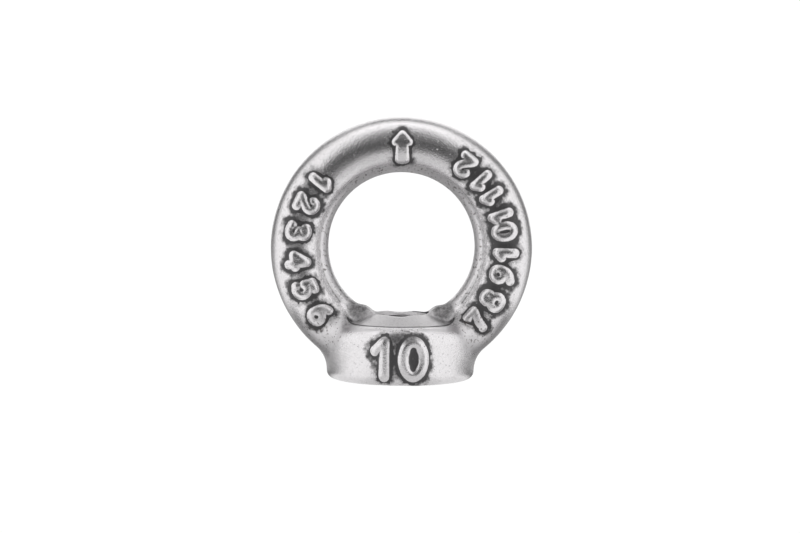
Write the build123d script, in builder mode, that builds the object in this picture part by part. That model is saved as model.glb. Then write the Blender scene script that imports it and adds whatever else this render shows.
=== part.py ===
from build123d import *
from math import radians, tan
import os

# Lifting eye nut, cast in one piece: a round ring standing on a drum-shaped collar that is
# tapped from below.  Millimetres.  The base face is z = 0, +Z is the thread axis and points up
# through the ring, and the axis of the eye is parallel to Y.

# Driving dimensions: the ring
total_height = 45.0
ring_outer_d = 45.0
eye_d = 25.2
eye_rise = 0.4  # the eye is cored a little high, so the ring is thickest at its foot
land_step = 0.6  # the band that lines the eye stands in from the round bar by this much
land_w = 5.0
land_bulge = 1.4  # how far the crown of the band stands in from its sides

# Driving dimensions: the collar
collar_d = 25.4
collar_drop = 0.7  # shoulder below the lowest line of the eye
shoulder_r = 2.6
base_edge_r = 1.4
neck_r = 5.0  # blend where the legs of the ring grow out of the collar

# Driving dimensions: the floor of the eye, a low cone with a web across it, hollowed to a saddle
seat_d = 19.4  # foot of the cone, and of the pocket that it stands in
seat_slope = 19.0  # rise of its side, degrees from level
saddle_r = 10.6
saddle_rise = 0.7  # lowest line of the saddle above the lowest line of the eye
web_w = 3.8  # top of the web that joins the feet of the two legs
web_slope = 62.0  # rise of the web's sides, degrees from level
web_rise = 2.3  # top of the web above the lowest line of the eye

# Driving dimensions: the tapped hole
thread_d = 10.0
thread_pitch = 1.5
eye_sink_d = 9.2  # countersink at the saddle's lowest line, widening on through the web
eye_sink_angle = 90.0
base_sink_d = 10.8  # countersink in the base
base_sink_angle = 90.0

# Worked out from the sizes above: the ring
ring_z = total_height - ring_outer_d / 2
ring_t = (ring_outer_d - eye_d) / 2 - land_step  # round section of the ring
section_r = ring_t / 2
section_track_r = ring_outer_d / 2 - section_r
eye_z = ring_z + eye_rise
eye_low = eye_z - eye_d / 2
land_root_r = eye_d / 2 + land_bulge

# Worked out: heights above the base
collar_h = eye_low - collar_drop
saddle_h = eye_low + saddle_rise
web_h = eye_low + web_rise
root_h = collar_h - shoulder_r  # the cone and the web start this low, inside the collar
stub_h = ring_outer_d / 4  # the drum is made this much too long, and trimmed at the base

# Worked out: the floor of the eye
seat_apex_h = collar_h + seat_d / 2 * tan(radians(seat_slope))
web_root_w = web_w + 2 * (web_h - root_h) / tan(radians(web_slope))

# Worked out: the hole
bore_r = (thread_d - thread_pitch) / 2
eye_sink_flare = tan(radians(eye_sink_angle / 2))
eye_sink_depth = (eye_sink_d / 2 - bore_r) / eye_sink_flare
web_sink_r = eye_sink_d / 2 + (web_h - saddle_h) * eye_sink_flare
base_sink_depth = (base_sink_d / 2 - bore_r) / tan(radians(base_sink_angle / 2))

# Section planes that hold the ring's and the eye's axes: x runs along Y, y runs up
ring_plane = Plane(origin=(0, 0, ring_z), x_dir=(0, 1, 0), z_dir=(1, 0, 0))
eye_plane = Plane(origin=(0, 0, eye_z), x_dir=(0, 1, 0), z_dir=(1, 0, 0))
ring_axis = Axis((0, 0, ring_z), (0, 1, 0))
eye_axis = Axis((0, 0, eye_z), (0, 1, 0))

with BuildPart() as eye_nut:
    # Collar: a drum with a round shoulder, running on below the base for now
    with Locations((0, 0, collar_h)):
        Cylinder(collar_d / 2, collar_h + stub_h, align=(Align.CENTER, Align.CENTER, Align.MAX))
    fillet(eye_nut.edges().group_by(Axis.Z)[-1], shoulder_r)

    # Ring: a round bar bent to a full circle, its lowest part buried in the drum
    with BuildSketch(ring_plane):
        with Locations((0, section_track_r)):
            Circle(section_r)
    revolve(axis=ring_axis)

    # Neck: each leg flows into the drum along the closed seam where the two surfaces cross
    seams = eye_nut.edges().filter_by(GeomType.BSPLINE)
    fillet(seams, neck_r)

    # Base: everything is cut off flat, and the edge rounded
    split(bisect_by=Plane.XY, keep=Keep.TOP)
    fillet(eye_nut.edges().group_by(Axis.Z)[0], base_edge_r)

    # Floor of the eye: a round pocket in the roots of the legs, with the cone standing in it
    with Locations((0, 0, collar_h)):
        Cylinder(
            seat_d / 2,
            eye_d / 2,
            align=(Align.CENTER, Align.CENTER, Align.MIN),
            mode=Mode.SUBTRACT,
        )
    with BuildSketch(Plane.YZ):
        with BuildLine():
            Polyline(
                (0, root_h),
                (seat_d / 2, root_h),
                (seat_d / 2, collar_h),
                (0, seat_apex_h),
                close=True,
            )
        make_face()
    revolve(axis=Axis.Z)

    # Web: joins the feet of the legs across the pocket, with sloping sides
    with BuildSketch(Plane.YZ):
        with BuildLine():
            Polyline(
                (-web_root_w / 2, root_h),
                (web_root_w / 2, root_h),
                (web_w / 2, web_h),
                (-web_w / 2, web_h),
                close=True,
            )
        make_face()
    extrude(amount=seat_d / 2, both=True)

    # Land: the rounded band that lines the eye, rooted in the bar
    with BuildSketch(eye_plane):
        with Locations((0, land_root_r)):
            Ellipse(land_w / 2, land_bulge)
            Rectangle(land_w, section_track_r - land_root_r, align=(Align.CENTER, Align.MIN))
    revolve(axis=eye_axis)

    # Saddle: the cone and the web are hollowed across, from front to back
    with BuildSketch(Plane.XZ):
        with Locations((0, saddle_h + saddle_r)):
            Circle(saddle_r)
    extrude(amount=seat_d / 2, both=True, mode=Mode.SUBTRACT)

    # Tapped hole, bored to the thread's minor diameter, with a countersink at each end
    with BuildSketch(Plane.YZ):
        with BuildLine():
            Polyline(
                (0, 0),
                (base_sink_d / 2, 0),
                (bore_r, base_sink_depth),
                (bore_r, saddle_h - eye_sink_depth),
                (web_sink_r, web_h),
                (0, web_h),
                close=True,
            )
        make_face()
    revolve(axis=Axis.Z, mode=Mode.SUBTRACT)

eye_nut.part.label = "eye_nut"
os.makedirs("parts", exist_ok=True)
export_step(eye_nut.part, "parts/eye_nut.step")
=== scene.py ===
# %% [markdown]
# # A cast lifting eye nut
# An eye nut is screwed on the end of a bolt, and a hook or a shackle goes through its eye. This
# one is a single steel casting: a round ring that stands on a drum-shaped collar, with one
# tapped hole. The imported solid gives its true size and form. This lesson gives the casting its
# raised marks, its thread, its soft cast skin and its polished, stained steel.

# %% The frame
import math

import bmesh
import bpy
from mathutils import Euler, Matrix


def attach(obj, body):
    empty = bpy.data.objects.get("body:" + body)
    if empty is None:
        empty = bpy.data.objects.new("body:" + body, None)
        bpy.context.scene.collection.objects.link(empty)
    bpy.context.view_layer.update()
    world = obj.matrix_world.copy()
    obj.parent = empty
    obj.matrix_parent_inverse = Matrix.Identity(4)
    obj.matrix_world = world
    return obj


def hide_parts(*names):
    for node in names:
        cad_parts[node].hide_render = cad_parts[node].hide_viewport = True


MM = 0.001
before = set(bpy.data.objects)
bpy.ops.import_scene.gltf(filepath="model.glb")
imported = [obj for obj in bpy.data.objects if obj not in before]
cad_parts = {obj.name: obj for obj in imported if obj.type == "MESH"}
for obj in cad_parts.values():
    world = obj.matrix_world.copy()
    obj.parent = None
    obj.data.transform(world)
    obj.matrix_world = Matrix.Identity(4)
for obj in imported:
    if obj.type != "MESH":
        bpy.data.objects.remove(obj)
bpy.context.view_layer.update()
scene = bpy.context.scene

# %% [markdown]
# ## Camera
# The nut is small, so it is seen from close by: about 0.3 m away and a little above the collar.
# That nearness matters, because the eye then looks down on the seat of the ring while it sees
# the top of the ring almost level. The lens follows from the distance and from how large the
# nut stands in the frame.

# %% Camera
SENSOR = 36.0  # mm
CAMERA_DISTANCE = 300 * MM
CAMERA_HEIGHT = 37 * MM
RING_SIZE = 45 * MM
RING_SHARE = 0.32636  # what the ring takes of the frame's width
RING_CENTRE = RING_SIZE / 2  # how high the middle of the ring is
LENS_SHIFT = (-0.00175, -0.02356)  # in frame widths; it puts the ring right of the middle and above it
TURN = math.radians(0.55)  # the nut stands a touch clockwise in the frame

pitch = math.atan2(CAMERA_HEIGHT - RING_CENTRE, CAMERA_DISTANCE)
reach = math.hypot(CAMERA_HEIGHT - RING_CENTRE, CAMERA_DISTANCE)
camera_data = bpy.data.cameras.new("camera")
camera_data.sensor_width = SENSOR
camera_data.lens = RING_SHARE * SENSOR * reach / RING_SIZE
camera_data.shift_x, camera_data.shift_y = LENS_SHIFT
camera_data.clip_start = 10 * MM
camera_data.clip_end = 20.0
camera = bpy.data.objects.new("camera", camera_data)
scene.collection.objects.link(camera)
camera.location = (0, -CAMERA_DISTANCE, CAMERA_HEIGHT)
tilted = Euler((math.pi / 2 - pitch, 0, 0)).to_matrix()
camera.rotation_euler = (tilted @ Euler((0, 0, TURN)).to_matrix()).to_euler()
scene.camera = camera
scene.view_settings.view_transform = "Standard"
print("lens, mm:", round(camera_data.lens, 1), " pitch, degrees:", round(math.degrees(pitch), 2))

# %% [markdown]
# ## Nodes in few lines
# Shaders and Geometry Nodes are both node trees, and both are easier to read when a node, its
# settings and what feeds it stand in one line. The first helper adds one node. A value in feeds
# is either a plain number or another node's output, which is then linked. Arithmetic takes a
# node for each step, so four more helpers write a sum, a difference, a product and a largest
# value of as many terms as are given.

# %% Node helpers
def add(tree, kind, feeds=None, **settings):
    made = tree.nodes.new(kind)
    for key, value in settings.items():
        setattr(made, key, value)
    for socket, source in (feeds or {}).items():
        if isinstance(source, bpy.types.NodeSocket):
            tree.links.new(source, made.inputs[socket])
        else:
            made.inputs[socket].default_value = source
    return made


def math_node(tree, operation, *values):
    made = add(tree, "ShaderNodeMath", dict(enumerate(values)), operation=operation)
    return made.outputs[0]


def chain(tree, operation, values):
    """One number from several, with the same operation from left to right."""
    total = values[0]
    for value in values[1:]:
        total = math_node(tree, operation, total, value)
    return total


def plus(tree, *values):
    return chain(tree, "ADD", values)


def minus(tree, *values):
    return chain(tree, "SUBTRACT", values)


def times(tree, *values):
    return chain(tree, "MULTIPLY", values)


def largest(tree, *values):
    return chain(tree, "MAXIMUM", values)


def length_of(tree, *sides):
    return math_node(tree, "SQRT", plus(tree, *[times(tree, side, side) for side in sides]))


def empty_material(name):
    material = bpy.data.materials.new(name)
    material.use_nodes = True
    material.node_tree.nodes.clear()
    return material, material.node_tree


print("helpers: add, math_node, plus, minus, times, largest, length_of, empty_material")

# %% [markdown]
# ## Room
# Polished steel has hardly a colour of its own: it shows the room. The room here is the usual
# one for small shiny goods: a white table inside a tent of white cloth, brightest overhead and
# at the sides, with a white backdrop behind. The side where the camera stands is dark, and so
# are the gaps above the backdrop and beside it. The dark front gives the ring its long dark
# band, with a hard lower edge where the table begins and a soft upper edge where the light from
# above takes over. The gaps give the ring's rim its thin dark line.

# %% Light by direction
WHITE = (1, 1, 1, 1)
WHITE_WALL = 1.05  # the backdrop as the camera sees it


def profile(tree, value, points):
    """A strength that changes with a value, in straight lines between (value, strength) points."""
    top = max(strength for _, strength in points)
    ramp = add(tree, "ShaderNodeValToRGB", {0: value})
    ramp.color_ramp.interpolation = "LINEAR"
    stops = ramp.color_ramp.elements
    while len(stops) < len(points):
        stops.new(0.5)
    for stop, (at, strength) in zip(stops, points):
        stop.position = at
        stop.color = (strength / top,) * 3 + (1,)
    return times(tree, ramp.outputs["Color"], top)


def blend(tree, share, first, second):
    return add(tree, "ShaderNodeMix", {0: share, 2: first, 3: second}, data_type="FLOAT").outputs[0]


def smooth_step(tree, value, low, high, to_low=0.0, to_high=1.0):
    """A soft step from to_low, where the value is low, to to_high, where it is high."""
    feeds = {"Value": value, "From Min": low, "From Max": high, "To Min": to_low, "To Max": to_high}
    return add(tree, "ShaderNodeMapRange", feeds, interpolation_type="SMOOTHSTEP").outputs[0]


world = bpy.data.worlds.new("tent")
world.use_nodes = True
tree = world.node_tree
tree.nodes.clear()
ray = add(tree, "ShaderNodeSeparateXYZ", {0: add(tree, "ShaderNodeTexCoord").outputs["Generated"]}).outputs
level = length_of(tree, ray["X"], ray["Y"])
facing = math_node(tree, "DIVIDE", ray["Y"], largest(tree, level, 0.001))  # -1 is at the camera
# each wall, from the foot up, by the sine of the angle that a ray climbs
front_wall = profile(tree, ray["Z"], [(0.0, 0.08), (0.28, 0.13), (0.5, 0.21), (0.66, 0.26), (0.82, 0.42),
                                      (0.93, 0.8), (1.0, 1.2)])
side_wall = profile(tree, ray["Z"], [(0.0, 1.3), (0.8, 1.25), (1.0, 1.2)])
corners = profile(tree, ray["Z"], [(0.0, 0.2), (0.6, 0.22), (0.85, 0.5), (0.94, 1.0), (1.0, 1.2)])
backdrop = profile(tree, ray["Z"], [(0.0, 1.3), (0.69, 1.3), (0.75, 0.07), (0.87, 0.08), (0.93, 1.0),
                                    (1.0, 1.2)])
at_front = smooth_step(tree, facing, -0.93, -0.76, 1.0, 0.0)
at_back = smooth_step(tree, facing, 0.25, 0.55)
straight_behind = smooth_step(tree, facing, 0.82, 0.93)
tent = blend(tree, at_front, side_wall, front_wall)
tent = blend(tree, at_back, tent, blend(tree, straight_behind, corners, backdrop))
path = add(tree, "ShaderNodeLightPath").outputs
strength = blend(tree, path["Is Camera Ray"], tent, WHITE_WALL)
back = add(tree, "ShaderNodeBackground", {"Color": WHITE, "Strength": strength})
add(tree, "ShaderNodeOutputWorld", {"Surface": back.outputs[0]})
scene.world = world
print("tent: front, side, corner and back walls")

# %% [markdown]
# ## Table and lamp
# The table is white to the eye and keeps the nut's soft shadow. What the steel sees of it is a
# painted reflection, a glow set by place: bright at the sides, dark past its near edge at the
# camera, dim behind the nut, and darkest close under its sides, a painted shadow of the nut. One
# large lamp hangs over it.

# %% Table and lamp
def plane(name, corners, material):
    mesh = bpy.data.meshes.new(name)
    mesh.from_pydata([tuple(v * MM for v in c) for c in corners], [], [(0, 1, 2, 3)])
    mesh.materials.append(material)
    made = bpy.data.objects.new(name, mesh)
    scene.collection.objects.link(made)


TABLE_REACH = 200 * MM  # past this the table's brightness stays the same
TABLE_HALF = 3000  # mm, from its middle to an edge
TABLE_GREY = (0.7, 0.7, 0.7, 1)
WHITE_TABLE = 1.06  # the table as the camera sees it
GLOW_TO_CAMERA = 0.93  # how much of the table is its own glow; the rest takes light and shadow
GLOW_IN_STEEL = 0.85
LAMP_SIZE = (500 * MM, 300 * MM)
LAMP_PLACE = (0, 60 * MM, 520 * MM)  # it shines straight down
LAMP_POWER = 0.18  # watts

table_white, tree = empty_material("table_white")
spot = add(tree, "ShaderNodeSeparateXYZ", {0: add(tree, "ShaderNodeTexCoord").outputs["Object"]}).outputs
from_nut = length_of(tree, spot["X"], spot["Y"])
heading = math_node(tree, "DIVIDE", spot["Y"], from_nut)  # -1 is towards the camera
outward = math_node(tree, "DIVIDE", from_nut, TABLE_REACH)
# the table's glow as the steel sees it, set by place: a painted reflection
to_camera = profile(tree, outward, [(0.1, 0.9), (0.4, 0.78), (0.47, 0.3), (0.55, 0.1), (1.0, 0.1)])
to_side = profile(tree, outward, [(0.06, 1.1), (0.1, 1.35), (1.0, 1.35)])
to_back = profile(tree, outward, [(0.06, 0.6), (0.2, 0.42), (1.0, 0.32)])
sheen = blend(tree, smooth_step(tree, heading, -0.93, -0.76, 1.0, 0.0), to_side, to_camera)
# close under the nut's sides the glow drops: a painted shadow of the nut
close_under = smooth_step(tree, outward, 0.16, 0.24, 0.2, 1.0)
sheen = times(tree, sheen, blend(tree, smooth_step(tree, heading, -0.4, 0.0), 1.0, close_under))
sheen = blend(tree, smooth_step(tree, heading, 0.2, 0.6), sheen, to_back)
path = add(tree, "ShaderNodeLightPath").outputs
strength = blend(tree, path["Is Camera Ray"], sheen, WHITE_TABLE)
glow = add(tree, "ShaderNodeEmission", {"Color": WHITE, "Strength": strength})
diffuse = add(tree, "ShaderNodeBsdfDiffuse", {"Color": TABLE_GREY})
mirrored = largest(tree, path["Is Glossy Ray"], path["Is Transmission Ray"])
glowing = plus(tree, times(tree, path["Is Camera Ray"], GLOW_TO_CAMERA),
               times(tree, mirrored, GLOW_IN_STEEL))
mixed = add(tree, "ShaderNodeMixShader", {0: glowing, 1: diffuse.outputs[0], 2: glow.outputs[0]})
add(tree, "ShaderNodeOutputMaterial", {"Surface": mixed.outputs[0]})
plane("table", [(x * TABLE_HALF, y * TABLE_HALF, 0) for x, y in ((-1, -1), (1, -1), (1, 1), (-1, 1))],
      table_white)

lamp_data = bpy.data.lights.new("light_above", "AREA")
lamp_data.shape = "RECTANGLE"
lamp_data.size, lamp_data.size_y = LAMP_SIZE
lamp_data.energy = LAMP_POWER
lamp = bpy.data.objects.new("light_above", lamp_data)
lamp.location = LAMP_PLACE
scene.collection.objects.link(lamp)
print("table", 2 * TABLE_HALF, "mm across, lamp", LAMP_POWER, "W")

# %% [markdown]
# ## The raised marks as pen strokes
# The marks are cast on the front: a plain load arrow at the top of the ring, the numbers 1 to 12
# round it like the numbers of a dial, with their heads towards the eye, and a plain 10 on the
# collar. The pattern maker pressed them in wax, so every stroke is as thick as the next and
# round at its ends. So each number is written as strokes of a pen in a box 0.6 wide and 1 high,
# and a stroke is either two points for a straight line or several for a smooth curve.

# %% Numerals
NUMERALS = {
    "0": [[(0.3 + 0.3 * math.sin(t * math.pi / 8), 0.5 + 0.5 * math.cos(t * math.pi / 8))
           for t in range(17)]],
    "1": [[(0.08, 0.74), (0.34, 0.98)], [(0.34, 0.98), (0.34, 0.0)]],
    "2": [[(0.04, 0.8), (0.16, 0.97), (0.4, 0.98), (0.56, 0.78), (0.42, 0.48), (0.06, 0.02)],
          [(0.06, 0.02), (0.6, 0.0)]],
    "3": [[(0.04, 0.9), (0.26, 1.0), (0.5, 0.88), (0.48, 0.66), (0.26, 0.53)],
          [(0.26, 0.53), (0.54, 0.42), (0.58, 0.16), (0.32, 0.0), (0.02, 0.1)]],
    "4": [[(0.46, 0.0), (0.46, 1.0)], [(0.46, 1.0), (0.0, 0.32)], [(0.0, 0.32), (0.62, 0.32)]],
    "5": [[(0.54, 1.0), (0.12, 1.0)], [(0.12, 1.0), (0.08, 0.56)],
          [(0.08, 0.56), (0.34, 0.64), (0.56, 0.46), (0.54, 0.16), (0.3, 0.0), (0.02, 0.08)]],
    "6": [[(0.5, 1.0), (0.2, 0.8), (0.04, 0.42), (0.08, 0.1), (0.32, 0.0), (0.56, 0.14), (0.56, 0.42),
           (0.32, 0.55), (0.08, 0.4)]],
    "7": [[(0.02, 1.0), (0.58, 1.0)], [(0.58, 1.0), (0.36, 0.52), (0.24, 0.0)]],
    "8": [[(0.3, 0.54), (0.1, 0.66), (0.1, 0.9), (0.3, 1.0), (0.5, 0.9), (0.5, 0.66), (0.3, 0.54)],
          [(0.3, 0.54), (0.03, 0.38), (0.05, 0.08), (0.3, 0.0), (0.55, 0.08), (0.57, 0.38), (0.3, 0.54)]],
    "9": [[(0.1, 0.0), (0.4, 0.2), (0.56, 0.58), (0.52, 0.9), (0.28, 1.0), (0.04, 0.86), (0.04, 0.58),
           (0.28, 0.45), (0.52, 0.6)]],
}
print("pen lines for the digits", *NUMERALS)

# %% Places of the marks
MARK_TRACK = 17.75 * MM  # radius of the circle that the ring's numbers stand on
MARK_HEIGHT = 3.0 * MM  # pen line to pen line
MARK_WIDTH = 3.1 * MM  # what 1 across a box becomes
RING_NUMBERS = {"1": 141, "2": 155, "3": 171, "4": 187, "5": 203, "6": 219,
                "7": -43, "8": -29, "9": -14, "10": 4, "11": 25, "12": 47}
DIGIT_STEP = 12.2  # degrees from one digit to the next in 10, 11 and 12
COLLAR_DIGIT = 5.6  # height of the collar's digits, mm, and what 1 across a box becomes
COLLAR_FOOT = 1.75  # their lower pen line, mm
COLLAR_LEFTS = {"1": -4.6, "0": 0.5}  # where each digit's box begins, mm
# the arrow's strokes, mm from the axis and above the base
ARROW = [[(0.0, 42.0), (-1.15, 40.65)], [(0.0, 42.0), (1.15, 40.65)], [(-1.15, 40.6), (1.15, 40.6)],
         [(0.0, 41.8), (0.0, 40.3)], [(-0.45, 40.3), (-0.6, 37.6)], [(0.45, 40.3), (0.6, 37.6)],
         [(0.0, 40.3), (0.0, 37.4)], [(-0.5, 37.5), (0.5, 37.5)]]


def round_the_ring(stroke, degrees):
    points = []
    for across, up in stroke:
        angle = math.radians(degrees) + (across - 0.3) * MARK_WIDTH / MARK_TRACK
        radius = MARK_TRACK - (up - 0.5) * MARK_HEIGHT
        points.append((radius * math.cos(angle), 0, RING_CENTRE + radius * math.sin(angle)))
    return points


def on_the_collar(stroke, left):
    return [((left + across * COLLAR_DIGIT) * MM, 0, (COLLAR_FOOT + up * COLLAR_DIGIT) * MM)
            for across, up in stroke]


ring_strokes = []
for number, degrees in RING_NUMBERS.items():
    for at, digit in enumerate(number):
        turn = degrees + (at - (len(number) - 1) / 2) * DIGIT_STEP
        ring_strokes += [round_the_ring(stroke, turn) for stroke in NUMERALS[digit]]
arrow_strokes = [[(x * MM, 0, z * MM) for x, z in stroke] for stroke in ARROW]
collar_strokes = [on_the_collar(s, left) for digit, left in COLLAR_LEFTS.items() for s in NUMERALS[digit]]
print("strokes:", len(ring_strokes), "round the ring,", len(arrow_strokes), "in the arrow,",
      len(collar_strokes), "on the collar")

# %% [markdown]
# ## The casting
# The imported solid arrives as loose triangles. A copy is merged into one closed skin, which
# stands for the casting before its marks are added.

# %% Casting blank
MERGE_WITHIN = 0.0002 * MM


def plain_object(name, mesh):
    made = bpy.data.objects.new(name, mesh)
    scene.collection.objects.link(made)
    return made


def made_plain(obj, name):
    """The object's evaluated shape as a mesh of its own, with no modifier left on it."""
    mesh = bpy.data.meshes.new_from_object(obj.evaluated_get(bpy.context.evaluated_depsgraph_get()))
    mesh.name = name
    return mesh


skin = bmesh.new()
skin.from_mesh(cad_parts["eye_nut"].data)
bmesh.ops.remove_doubles(skin, verts=skin.verts, dist=MERGE_WITHIN)
blank_mesh = bpy.data.meshes.new("blank")
skin.to_mesh(blank_mesh)
open_edges = sum(not edge.is_manifold for edge in skin.edges)
skin.free()
blank = plain_object("blank", blank_mesh)
print("blank:", len(blank_mesh.polygons), "triangles,", open_edges, "open edges")

# %% [markdown]
# ## Geometry trees
# Three Geometry Nodes trees shape this casting and a fourth one measures it. Each has named
# inputs, and the three that make a shape end in the same way. So three helpers start a tree, end
# it, and put it on an object with its values.

# %% Geometry tree helpers
OBJECT, MATERIAL = "NodeSocketObject", "NodeSocketMaterial"
FLOAT, INT, VECTOR = "NodeSocketFloat", "NodeSocketInt", "NodeSocketVector"


def geometry_tree(name, **inputs):
    """An empty tree that takes and gives geometry, with a named input for each word_with_lines."""
    tree = bpy.data.node_groups.new(name, "GeometryNodeTree")
    for way in ("OUTPUT", "INPUT"):
        tree.interface.new_socket("Geometry", in_out=way, socket_type="NodeSocketGeometry")
    for label, kind in inputs.items():
        tree.interface.new_socket(label.replace("_", " "), in_out="INPUT", socket_type=kind)
    return tree


def hand_out(tree, geometry, material):
    """Ends a tree: what it made becomes real geometry in one material."""
    real = add(tree, "GeometryNodeRealizeInstances", {0: geometry})
    dressed = add(tree, "GeometryNodeSetMaterial", {"Geometry": real.outputs[0], "Material": material})
    add(tree, "NodeGroupOutput", {0: dressed.outputs[0]})


def grow(obj, tree, **inputs):
    """Puts a tree on the object, with a value for each of its named inputs."""
    modifier = obj.modifiers.new(tree.name, "NODES")
    modifier.node_group = tree
    sockets = {s.name.replace(" ", "_"): s.identifier for s in tree.interface.items_tree
               if s.in_out == "INPUT"}
    for name, value in inputs.items():
        modifier[sockets[name]] = value


print("helpers: geometry_tree, hand_out, grow")

# %% [markdown]
# ## Pressing the strokes on the casting
# The strokes are drawn flat. A tree lays them on the nut: each point looks straight back until
# it meets the casting, then sinks along the skin's own direction, so that a bar swept along the
# line shows only its round back. A ball closes each end. The same tree serves the ring and the
# collar, with its own stroke and relief.

# %% Stroke tree
POINT_STEP = 0.2 * MM  # from one point of a stroke to the next
PEN_SIDES = 20
IN_FRONT = 50 * MM  # a stroke's points look back at the casting from here


def stroke_tree():
    """Bars with round ends that follow the strokes over the casting."""
    tree = geometry_tree("pressed_strokes", Casting=OBJECT, Pen_radius=FLOAT, Relief=FLOAT,
                         Material=MATERIAL)
    given = add(tree, "NodeGroupInput").outputs
    fine = add(tree, "GeometryNodeResampleCurve", {"Curve": given["Geometry"], "Length": POINT_STEP},
               mode="LENGTH")
    where = add(tree, "GeometryNodeInputPosition")
    parts = add(tree, "ShaderNodeSeparateXYZ", {0: where.outputs[0]})
    front = add(tree, "ShaderNodeCombineXYZ", {"X": parts.outputs["X"], "Y": -IN_FRONT,
                                               "Z": parts.outputs["Z"]})
    casting = add(tree, "GeometryNodeObjectInfo", {"Object": given["Casting"]}, transform_space="ORIGINAL")
    ray = add(tree, "GeometryNodeRaycast", {"Target Geometry": casting.outputs["Geometry"],
                                            "Source Position": front.outputs[0], "Ray Direction": (0, 1, 0),
                                            "Ray Length": 2 * IN_FRONT})
    sink = minus(tree, given["Relief"], given["Pen radius"])
    inward = add(tree, "ShaderNodeVectorMath", {0: ray.outputs["Hit Normal"], "Scale": sink},
                 operation="SCALE")
    lain = add(tree, "ShaderNodeVectorMath", {0: ray.outputs["Hit Position"], 1: inward.outputs[0]},
               operation="ADD")
    pressed = add(tree, "GeometryNodeSetPosition", {"Geometry": fine.outputs[0],
                                                    "Position": lain.outputs[0]})
    pen = add(tree, "GeometryNodeCurvePrimitiveCircle", {"Resolution": PEN_SIDES,
                                                         "Radius": given["Pen radius"]})
    bars = add(tree, "GeometryNodeCurveToMesh", {
        "Curve": pressed.outputs[0], "Profile Curve": pen.outputs[0], "Fill Caps": True})
    ends = add(tree, "GeometryNodeCurveEndpointSelection")
    ball = add(tree, "GeometryNodeMeshUVSphere", {"Segments": PEN_SIDES, "Rings": 12,
                                                  "Radius": given["Pen radius"]})
    balls = add(tree, "GeometryNodeInstanceOnPoints", {
        "Points": pressed.outputs[0], "Selection": ends.outputs[0], "Instance": ball.outputs[0]})
    joined = add(tree, "GeometryNodeJoinGeometry", {0: bars.outputs[0]})
    tree.links.new(balls.outputs[0], joined.inputs[0])
    hand_out(tree, joined.outputs[0], given["Material"])
    return tree


cast_steel, cast_tree = empty_material("tumbled_steel")
pressing = stroke_tree()


def pressed(name, strokes, pen_radius, relief):
    line = bpy.data.curves.new(name, "CURVE")
    line.dimensions = "3D"
    for stroke in strokes:
        spline = line.splines.new("BEZIER")
        spline.bezier_points.add(len(stroke) - 1)
        for point, spot in zip(spline.bezier_points, stroke):
            point.co = spot
            point.handle_left_type = point.handle_right_type = "AUTO"
        spline.resolution_u = 16
    drawn = plain_object(name, line)
    grow(drawn, pressing, Casting=blank, Pen_radius=pen_radius * MM, Relief=relief * MM,
         Material=cast_steel)
    mesh = made_plain(drawn, name)
    bpy.data.objects.remove(drawn)
    return mesh


def joined_mesh(name, meshes):
    together = bmesh.new()
    for mesh in meshes:
        together.from_mesh(mesh)
    made = bpy.data.meshes.new(name)
    together.to_mesh(made)
    together.free()
    return made


# each set of strokes with its pen radius and its relief, in mm
marks_mesh = joined_mesh("marks", [pressed("ring_marks", ring_strokes, 0.92, 0.46),
                                   pressed("arrow_mark", arrow_strokes, 0.7, 0.36),
                                   pressed("collar_marks", collar_strokes, 1.05, 0.52)])
marks = plain_object("marks", marks_mesh)
print("marks:", len(marks_mesh.polygons), "faces")

# %% [markdown]
# ## One skin
# The marks are part of the casting, so bars and blank must become one skin. A boolean would
# leave knife-sharp corners where a stroke meets the ring, and no casting has those. A voxel
# remesh rebuilds everything from small cells instead: inner faces vanish, and corners come out
# as soft as a tumbled casting's. The cell is a quarter of a millimetre, a seventh of a stroke.

# %% Fused casting
VOXEL = 0.26 * MM
fused = plain_object("fused", joined_mesh("fused", [blank_mesh, marks_mesh]))
remesh = fused.modifiers.new("one_skin", "REMESH")
remesh.mode = "VOXEL"
remesh.voxel_size = VOXEL
even = fused.modifiers.new("even", "SMOOTH")
even.factor = 0.5
even.iterations = 2
fused.data = made_plain(fused, "fused")
fused.modifiers.clear()
print("one skin:", len(fused.data.polygons), "faces")

# %% [markdown]
# ## Cast skin
# No casting is as true as its drawing. The wax shrinks and the belt that polishes it rubs more
# here than there, so a long reflection wavers. The seat in the eye is out of the belt's reach
# and keeps its soft, sunken corners. One tree does both: it averages the skin round the roots
# of the legs, then moves every point a few hundredths of a millimetre along its own normal, by
# two noises, one in long waves and one in fine dimples.

# %% Cast skin tree
SEAT_CORNER = (7.4 * MM, 12.2 * MM)  # from the axis and above the base, inside the eye


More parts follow.
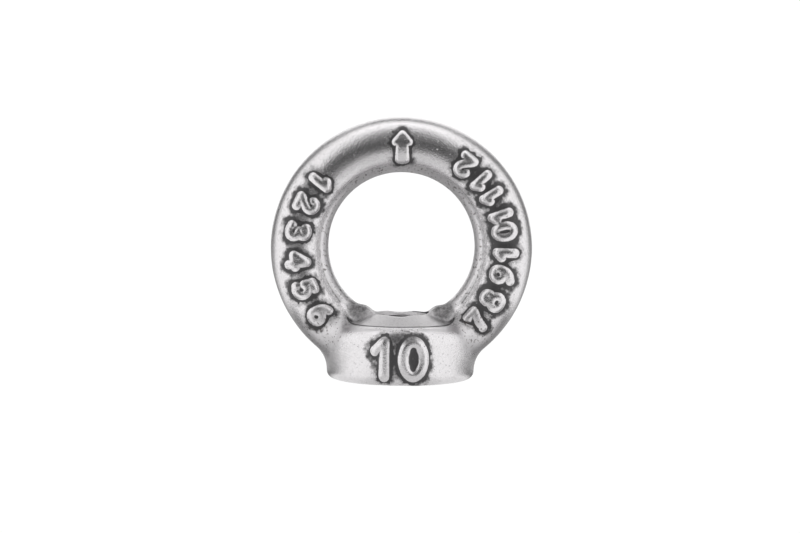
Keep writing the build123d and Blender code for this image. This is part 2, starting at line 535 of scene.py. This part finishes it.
def cast_skin_tree():
    """Softens the corners of the seat and makes the whole skin a little uneven."""
    tree = geometry_tree("cast_skin", Root_steps=INT, Wave_size=FLOAT, Wave_depth=FLOAT, Dimple_size=FLOAT,
                         Dimple_depth=FLOAT, Seed=FLOAT, Material=MATERIAL)
    given = add(tree, "NodeGroupInput").outputs
    where = add(tree, "GeometryNodeInputPosition").outputs[0]
    parts = add(tree, "ShaderNodeSeparateXYZ", {0: where})
    # how much a point belongs to the roots of the legs
    beside = minus(tree, math_node(tree, "ABSOLUTE", parts.outputs["X"]), SEAT_CORNER[0])
    above = minus(tree, parts.outputs["Z"], SEAT_CORNER[1])
    root = add(tree, "ShaderNodeMapRange", {
        "Value": length_of(tree, beside, above), "From Min": 1.6 * MM, "From Max": 3.2 * MM,
        "To Min": 1.0, "To Max": 0.0})
    averaged = add(tree, "GeometryNodeBlurAttribute", {"Value": where, "Iterations": given["Root steps"],
                                                       "Weight": root.outputs[0]}, data_type="FLOAT_VECTOR")
    softened = add(tree, "GeometryNodeSetPosition", {"Geometry": given["Geometry"],
                                                     "Position": averaged.outputs[0]})
    normal = add(tree, "GeometryNodeInputNormal").outputs[0]
    moves = []
    for size, depth in (("Wave size", "Wave depth"), ("Dimple size", "Dimple depth")):
        scale = math_node(tree, "DIVIDE", 1.0, given[size])
        noise = add(tree, "ShaderNodeTexNoise", {"Vector": where, "W": given["Seed"], "Scale": scale,
                                                 "Detail": 1.0}, noise_dimensions="4D")
        moves.append(times(tree, minus(tree, noise.outputs[0], 0.5), given[depth]))
    move = add(tree, "ShaderNodeVectorMath", {0: normal, "Scale": plus(tree, *moves)}, operation="SCALE")
    uneven = add(tree, "GeometryNodeSetPosition", {"Geometry": softened.outputs[0],
                                                   "Offset": move.outputs[0]})
    smooth = add(tree, "GeometryNodeSetShadeSmooth", {"Geometry": uneven.outputs[0]})
    hand_out(tree, smooth.outputs[0], given["Material"])
    return tree


grow(fused, cast_skin_tree(), Root_steps=14, Wave_size=5 * MM, Wave_depth=0.09 * MM, Dimple_size=1.1 * MM,
     Dimple_depth=0.022 * MM, Seed=3.0, Material=cast_steel)
fused.data = made_plain(fused, "fused")
fused.modifiers.clear()
print("cast skin laid on", len(fused.data.vertices), "points")

# %% [markdown]
# ## Thread
# The hole is tapped for a 10 mm screw, a turn every 1.5 mm. The solid has it bored to the size
# the tap needs, so what is left is to cut as the tap cuts: a bar with the section of the groove
# is swept along a helix, a little longer than the hole, and taken away from the casting. The
# groove keeps crisp edges because it is cut after the skin is made.

# %% Tap
THREAD_PITCH = 1.5 * MM
THREAD_MAJOR_RADIUS = 5.0 * MM
GROOVE_MOUTH_RADIUS = 4.1 * MM  # the groove's section starts in the open bore
GROOVE_FLOOR = THREAD_PITCH / 8
GROOVE_MOUTH = GROOVE_FLOOR + 2 * (THREAD_MAJOR_RADIUS - GROOVE_MOUTH_RADIUS) * math.tan(math.radians(30))
TAP_FOOT = -2.2 * MM  # the cut starts below the base
TAP_TURNS = 11.0
STEPS_IN_A_TURN = 72


def tap_tree():
    """The bar that is taken away: the groove's section swept along a helix."""
    tree = geometry_tree("tap", Outer_radius=FLOAT, Inner_radius=FLOAT, Outer_width=FLOAT, Inner_width=FLOAT,
                         Pitch=FLOAT, Turns=FLOAT, Foot=FLOAT, Steps_in_a_turn=INT, Material=MATERIAL)
    given = add(tree, "NodeGroupInput").outputs
    depth = minus(tree, given["Outer radius"], given["Inner radius"])
    track = times(tree, plus(tree, given["Outer radius"], given["Inner radius"]), 0.5)
    rise = times(tree, given["Pitch"], given["Turns"])
    helix = add(tree, "GeometryNodeCurveSpiral", {
        "Resolution": given["Steps in a turn"], "Rotations": given["Turns"], "Start Radius": track,
        "End Radius": track, "Height": rise, "Reverse": True})
    upright = add(tree, "GeometryNodeSetCurveNormal", {"Curve": helix.outputs[0]}, mode="Z_UP")
    foot = add(tree, "ShaderNodeCombineXYZ", {"Z": given["Foot"]})
    placed = add(tree, "GeometryNodeTransform", {"Geometry": upright.outputs[0],
                                                 "Translation": foot.outputs[0]})
    section = add(tree, "GeometryNodeCurvePrimitiveQuadrilateral", {
        "Bottom Width": given["Inner width"], "Top Width": given["Outer width"], "Height": depth,
        "Offset": 0.0}, mode="TRAPEZOID")
    # the section is drawn with its mouth down, and its mouth has to point at the axis
    turned = add(tree, "GeometryNodeTransform", {"Geometry": section.outputs[0],
                                                 "Rotation": (0, 0, math.pi / 2)})
    bar = add(tree, "GeometryNodeCurveToMesh", {
        "Curve": placed.outputs[0], "Profile Curve": turned.outputs[0], "Fill Caps": True})
    hand_out(tree, bar.outputs[0], given["Material"])
    return tree


cut_steel, cut_tree = empty_material("cut_steel")
tap = plain_object("tap", bpy.data.meshes.new("tap"))
grow(tap, tap_tree(), Outer_radius=THREAD_MAJOR_RADIUS, Inner_radius=GROOVE_MOUTH_RADIUS,
     Outer_width=GROOVE_FLOOR, Inner_width=GROOVE_MOUTH, Pitch=THREAD_PITCH, Turns=TAP_TURNS, Foot=TAP_FOOT,
     Steps_in_a_turn=STEPS_IN_A_TURN, Material=cut_steel)
tap.data = made_plain(tap, "tap")
tap.modifiers.clear()
radii = [math.hypot(v.co.x, v.co.y) / MM for v in tap.data.vertices]
heights = [v.co.z / MM for v in tap.data.vertices]
print("tap, mm: radius", round(min(radii), 2), "to", round(max(radii), 2),
      " height", round(min(heights), 2), "to", round(max(heights), 2))

# %% Tapped casting
cut = fused.modifiers.new("tapped", "BOOLEAN")
cut.operation = "DIFFERENCE"
cut.solver = "EXACT"
cut.material_mode = "TRANSFER"
cut.object = tap
fused.data = made_plain(fused, "fused")
fused.modifiers.clear()
print("tapped casting:", len(fused.data.polygons), "faces,", [m.name for m in fused.data.materials])

# %% [markdown]
# ## Where the stain stays
# After casting the nut is pickled and tumbled. The dark film goes wherever the tumbling chips
# can rub, and stays in hollows and between the marks. The mesh can say where that is. A point
# lies in a hollow when the average of its neighbours stands out in front of it, and the
# distance to the nearest pen stroke is measured directly. Where the marks crowd together, the
# average of a wide ring of neighbours is largely mark. The last tree stores all three, the
# first two in millimetres, and the shader reads them. It changes no shape, and the nut has two
# materials by now, so this tree sets none.

# %% Wear map tree
UNDER_A_MARK = 0.05  # mm: a point this near to a stroke belongs to the mark itself


def store(tree, geometry, name, value):
    feeds = {"Geometry": geometry, "Name": name, "Value": value}
    made = add(tree, "GeometryNodeStoreNamedAttribute", feeds, data_type="FLOAT", domain="POINT")
    return made.outputs[0]


def wear_map_tree():
    tree = geometry_tree("wear_map", Strokes=OBJECT, Hollow_steps=INT, Crowd_steps=INT)
    given = add(tree, "NodeGroupInput").outputs
    where = add(tree, "GeometryNodeInputPosition").outputs[0]
    normal = add(tree, "GeometryNodeInputNormal").outputs[0]
    around = add(tree, "GeometryNodeBlurAttribute", {"Value": where, "Iterations": given["Hollow steps"],
                                                     "Weight": 1.0}, data_type="FLOAT_VECTOR")
    out = add(tree, "ShaderNodeVectorMath", {0: around.outputs[0], 1: where}, operation="SUBTRACT")
    depth = add(tree, "ShaderNodeVectorMath", {0: out.outputs[0], 1: normal}, operation="DOT_PRODUCT")
    mesh = store(tree, given["Geometry"], "hollow", times(tree, depth.outputs["Value"], 1 / MM))
    strokes = add(tree, "GeometryNodeObjectInfo", {"Object": given["Strokes"]}, transform_space="ORIGINAL")
    nearest = add(tree, "GeometryNodeProximity", {0: strokes.outputs["Geometry"]}, target_element="FACES")
    away = times(tree, nearest.outputs["Distance"], 1 / MM)
    mesh = store(tree, mesh, "mark_distance", away)
    covered = math_node(tree, "LESS_THAN", away, UNDER_A_MARK)
    crowd = add(tree, "GeometryNodeBlurAttribute", {"Value": covered, "Iterations": given["Crowd steps"],
                                                    "Weight": 1.0}, data_type="FLOAT")
    add(tree, "NodeGroupOutput", {0: store(tree, mesh, "mark_crowd", crowd.outputs[0])})
    return tree


grow(fused, wear_map_tree(), Strokes=marks, Hollow_steps=5, Crowd_steps=18)
fused.data = made_plain(fused, "fused")
fused.modifiers.clear()
for name in ("hollow", "mark_distance", "mark_crowd"):
    values = sorted(v.value for v in fused.data.attributes[name].data)
    print(name, "from", round(values[0], 3), "to", round(values[-1], 3), "median",
          round(values[len(values) // 2], 4))

# %% [markdown]
# ## Shared effects
# Two finishes meet on this nut, the cast skin and the cut thread, and both have grain and both
# hold stain in their hollows. Such an effect is a node group with named inputs, built once and
# placed in each material with its own values.

# %% Shader helpers
def shader_group(name, inputs, outputs):
    """A group that takes a position and the named values, each with the default given."""
    tree = bpy.data.node_groups.new(name, "ShaderNodeTree")
    tree.interface.new_socket("Position", in_out="INPUT", socket_type=VECTOR)
    for label, value in inputs.items():
        socket = tree.interface.new_socket(label.replace("_", " "), in_out="INPUT", socket_type=FLOAT)
        socket.default_value = value
    for label in outputs:
        tree.interface.new_socket(label, in_out="OUTPUT", socket_type=FLOAT)
    return tree, add(tree, "NodeGroupInput").outputs


def placed_group(tree, group, **feeds):
    made = tree.nodes.new("ShaderNodeGroup")
    made.node_tree = group
    for name, source in feeds.items():
        socket = made.inputs[name.replace("_", " ")]
        if isinstance(source, bpy.types.NodeSocket):
            tree.links.new(source, socket)
        else:
            socket.default_value = source
    return made.outputs


def millimetres(tree, place):
    return add(tree, "ShaderNodeVectorMath", {0: place, "Scale": 1 / MM}, operation="SCALE").outputs[0]


def noise(tree, vector, scale, **feeds):
    return add(tree, "ShaderNodeTexNoise", {"Vector": vector, "Scale": scale, **feeds}).outputs[0]


def stored(tree, name):
    return add(tree, "ShaderNodeAttribute", attribute_name=name).outputs["Fac"]


def mix_colour(tree, share, first, second):
    return add(tree, "ShaderNodeMix", {0: share, 6: first, 7: second}, data_type="RGBA").outputs[2]


print("helpers: shader_group, placed_group, millimetres, noise, stored, mix_colour")

# %% [markdown]
# The grain is a fine noise with pits in it. It gives a height for a bump and a mask of the pits.
# Pits are where a second noise is high, and their share moves the height that counts as high.

# %% Grain group
grain_group, given = shader_group("skin_grain", {"Grains_in_a_mm": 4.0, "Pits_in_a_mm": 1.5,
                                                 "Pit_share": 0.2}, ["Height", "Pits"])
in_mm = millimetres(grain_group, given["Position"])
fine = noise(grain_group, in_mm, given["Grains in a mm"], Detail=3.0, Roughness=0.6)
holes = noise(grain_group, in_mm, given["Pits in a mm"], Detail=2.0, Roughness=0.5)
edge = minus(grain_group, 0.75, times(grain_group, given["Pit share"], 0.5))
pits = add(grain_group, "ShaderNodeMapRange", {"Value": holes, "From Min": edge,
                                               "From Max": plus(grain_group, edge, 0.06)}).outputs[0]
height = minus(grain_group, fine, times(grain_group, pits, 1.5))
add(grain_group, "NodeGroupOutput", {"Height": height, "Pits": pits})
print("group:", grain_group.name)

# %% [markdown]
# The stain, and the painted shade made the same way, follow a measure of how sheltered a point
# is. It starts at one value and is full at another, and a cloudy noise shifts both about, so
# that no edge of it is even.

# %% Stain group
stain_group, given = shader_group("hollow_stain", {"Hollow": 0.0, "Starts_at": 0.01, "Full_at": 0.05,
                                                   "Break_up": 0.5}, ["Mask"])
in_mm = millimetres(stain_group, given["Position"])
cloud = noise(stain_group, in_mm, 1.6, Detail=5.0, Roughness=0.7)
shift = times(stain_group, minus(stain_group, cloud, 0.5), given["Break up"])
span = minus(stain_group, given["Full at"], given["Starts at"])
share = math_node(stain_group, "DIVIDE", minus(stain_group, given["Hollow"], given["Starts at"]), span)
mask = smooth_step(stain_group, plus(stain_group, share, shift), 0.0, 1.0)
add(stain_group, "NodeGroupOutput", {"Mask": mask})


def stained(tree, place, hollow, starts_at, full_at, break_up=0.5):
    return placed_group(tree, stain_group, Position=place, Hollow=hollow, Starts_at=starts_at,
                        Full_at=full_at, Break_up=break_up)["Mask"]


print("group:", stain_group.name)

# %% [markdown]
# ## Cast steel
# The skin is bare stainless steel, rubbed bright, so it is a plain metal with a smooth but not
# mirror-like surface. What changes it depends on where a point is. The lining of the eye, its
# floor and the necks are out of the belt's reach and duller. The lining, the roots of the legs
# and the necks are pitted. The collar's edge, in front of the floor and behind it, is rougher and
# painted paler, a painted highlight of the light from above. So the first step is to mask these
# zones, in millimetres on the nut.

# %% Zones of the casting
EYE_CENTRE = (0.0, 22.9)  # mm from the axis and above the base, as the next two
LEG_ROOT = (7.4, 11.9)
NECK = (13.2, 8.8)


def near(tree, first, second, centre, inner, outer):
    """One within inner of the centre, in the plane of the two coordinates, and none past outer."""
    distance = length_of(tree, *[minus(tree, c, at) for c, at in zip((first, second), centre)])
    return smooth_step(tree, distance, inner, outer, 1.0, 0.0)


def between(tree, value, rise, fall):
    """One between two soft steps, each given by where it starts and where it ends."""
    return times(tree, smooth_step(tree, value, *rise), smooth_step(tree, value, *fall, 1.0, 0.0))


tree = cast_tree
place = add(tree, "ShaderNodeTexCoord").outputs["Object"]
in_mm = millimetres(tree, place)
x, y, z = add(tree, "ShaderNodeSeparateXYZ", {0: in_mm}).outputs
side = math_node(tree, "ABSOLUTE", x)
across = length_of(tree, x, y)  # from the axis of the thread

lining = near(tree, x, z, EYE_CENTRE, 13.8, 14.3)
floor = times(tree, smooth_step(tree, across, 9.3, 9.9, 1.0, 0.0),
              between(tree, z, (9.1, 9.6), (12.8, 14.5)))
root = near(tree, side, z, LEG_ROOT, 1.0, 2.8)
neck = near(tree, side, z, NECK, 2.0, 5.0)
# lip: the collar's edge, rougher, and painted paler as a painted highlight
lip = times(tree, between(tree, z, (8.5, 8.9), (9.5, 9.9)), smooth_step(tree, across, 9.9, 10.1),
            smooth_step(tree, side, 7.0, 9.5, 1.0, 0.0))
print("zones: lining, floor, root, neck, lip")

# %% [markdown]
# The dark comes in five forms. Stain is full in the hollows and full beside and between the
# strokes, with a thin haze round them. Painted shade darkens the roots of the legs and draws a
# line in the crease where the floor of the eye meets the collar. And a darker patch lies over the
# number on the collar. The distance to the strokes is shifted by blots first, so the stain's
# outer edge runs in and out. Each form has its own start, its own full value and its own share
# of clouds, and the darkest one wins.

# %% Stain on the cast skin
FLOOR_EDGE = 9.75  # mm from the axis, where the floor of the eye meets the collar
THUMB = (0.0, 8.1)  # mm, over the number on the collar

distance = stored(tree, "mark_distance")
off_mark = smooth_step(tree, distance, 0.02, 0.1)
blots = noise(tree, in_mm, 0.75, Detail=3.0, Roughness=0.6)
blotted = minus(tree, distance, times(tree, minus(tree, blots, 0.5), 2.0))

hollow = times(tree, stored(tree, "hollow"), minus(tree, 1.0, times(tree, root, 0.6)))
fringe = smooth_step(tree, blotted, 0.2, 0.7, 1.0, 0.0)
crowd = smooth_step(tree, stored(tree, "mark_crowd"), 0.15, 0.28)
beside = times(tree, off_mark, largest(tree, fringe, crowd))
patches = smooth_step(tree, noise(tree, in_mm, 0.22, Detail=1.0), 0.35, 0.6, 0.55, 1.25)
haze = times(tree, off_mark, smooth_step(tree, blotted, 0.2, 1.5, 0.9, 0.0), patches)
# painted shade: a dark line in the crease where the floor of the eye meets the collar
from_edge = math_node(tree, "ABSOLUTE", minus(tree, across, FLOOR_EDGE))
corner = times(tree, smooth_step(tree, from_edge, 0.1, 0.5, 1.0, 0.0),
               between(tree, z, (9.0, 9.4), (10.4, 11.2)))
# a darker patch over the number on the collar
smudge = times(tree, near(tree, times(tree, x, 0.3), z, THUMB, 0.4, 1.5),
               smooth_step(tree, y, -9.0, -8.0, 0.75, 0.0))

# the darkest of stain, painted shade and the darker patch wins
stain = largest(tree,
                stained(tree, place, hollow, 0.012, 0.05),
                stained(tree, place, beside, 0.15, 0.75, break_up=1.6),
                # the haze round the strokes is stain; the share at the roots of the legs is painted shade
                stained(tree, place, plus(tree, haze, times(tree, root, 0.6)), 0.0, 1.0, break_up=1.2),
                stained(tree, place, corner, 0.0, 0.9, break_up=0.6),
                stained(tree, place, smudge, 0.0, 1.0, break_up=0.8))
worn = times(tree, stain, 0.93)
print("stain: hollows, marks, haze, corner, smudge")

# %% [markdown]
# Then come colour and gloss. The grain makes the bare steel vary a little, and its highest dots
# are duller, so they glint in a dark reflection. Stained steel, and steel darkened as painted
# shade, is dark, rougher and only half a metal, because the film of the stain isn't one.

# %% Cast steel shader
STEEL_LOW = (0.64, 0.626, 0.635, 1)
STEEL_HIGH = (0.69, 0.675, 0.685, 1)
# the collar's edge is painted this paler colour, a painted highlight of the light from above
RUBBED = (0.84, 0.823, 0.834, 1)
STAIN = (0.032, 0.0305, 0.032, 1)
PIT = (0.09, 0.078, 0.074, 1)
BARE_ROUGHNESS = 0.215

grain = placed_group(tree, grain_group, Position=place, Grains_in_a_mm=3.5, Pits_in_a_mm=2.6,
                     Pit_share=0.12)
bare = mix_colour(tree, smooth_step(tree, grain["Height"], 0.35, 0.65), STEEL_LOW, STEEL_HIGH)
# stain and painted shade darken the colour; the collar's edge is painted paler, a painted highlight
colour = mix_colour(tree, worn, mix_colour(tree, lip, bare, RUBBED), STAIN)
pits = placed_group(tree, grain_group, Position=place, Grains_in_a_mm=4.0, Pits_in_a_mm=2.2,
                    Pit_share=0.3)
pitted = times(tree, pits["Pits"], minus(tree, largest(tree, root, neck, lining), times(tree, floor, 0.8)))
colour = mix_colour(tree, times(tree, pitted, 0.7), colour, PIT)

dots = smooth_step(tree, grain["Height"], 0.53, 0.63)
rough = plus(tree, BARE_ROUGHNESS, times(tree, lining, 0.12), times(tree, floor, 0.08),
             times(tree, lip, 0.2), times(tree, neck, 0.26), times(tree, dots, 0.04),
             times(tree, worn, 0.25))
bump = add(tree, "ShaderNodeBump", {"Height": grain["Height"], "Strength": 1.0, "Distance": 0.05 * MM})
steel = add(tree, "ShaderNodeBsdfPrincipled", {
    "Base Color": colour, "Metallic": minus(tree, 1.0, times(tree, worn, 0.5)), "Roughness": rough,
    "Normal": bump.outputs[0]})
add(tree, "ShaderNodeOutputMaterial", {"Surface": steel.outputs[0]})
print("finish:", cast_steel.name)

# %% [markdown]
# ## Cut steel
# The thread is bare metal as the tap left it: a finer grain, a little duller than the skin, and
# dark where oil and dirt stay, at the bottom of the groove. Its mouth under the eye is darker
# too, painted shade where the hole lies in shadow.

# %% Cut steel shader
CUT = (0.5, 0.49, 0.496, 1)
OILY = (0.08, 0.077, 0.08, 1)

tree = cut_tree
place = add(tree, "ShaderNodeTexCoord").outputs["Object"]
height = add(tree, "ShaderNodeSeparateXYZ", {0: millimetres(tree, place)}).outputs["Z"]
# the mouth of the hole under the eye: painted shade
mouth = smooth_step(tree, height, 9.2, 10.4, 0.0, 0.08)
oil = stained(tree, place, plus(tree, stored(tree, "hollow"), mouth), 0.01, 0.12)
grain = placed_group(tree, grain_group, Position=place, Grains_in_a_mm=8.0, Pits_in_a_mm=2.0,
                     Pit_share=0.05)
bump = add(tree, "ShaderNodeBump", {"Height": grain["Height"], "Strength": 0.3, "Distance": 0.01 * MM})
steel = add(tree, "ShaderNodeBsdfPrincipled", {
    "Base Color": mix_colour(tree, oil, CUT, OILY), "Metallic": 1.0,
    "Roughness": plus(tree, 0.28, times(tree, oil, 0.2)), "Normal": bump.outputs[0]})
add(tree, "ShaderNodeOutputMaterial", {"Surface": steel.outputs[0]})
print("finish:", cut_steel.name)

# %% [markdown]
# ## Handing over
# The finished casting stands for the imported solid. The blank, the strokes and the tap were
# only means to an end, so they go.

# %% Finish
casting = fused
casting.name = "eye_nut_casting"
casting.data.name = "eye_nut_casting"
for helper in (blank, marks, tap):
    bpy.data.objects.remove(helper)
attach(casting, "root")
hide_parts("eye_nut")
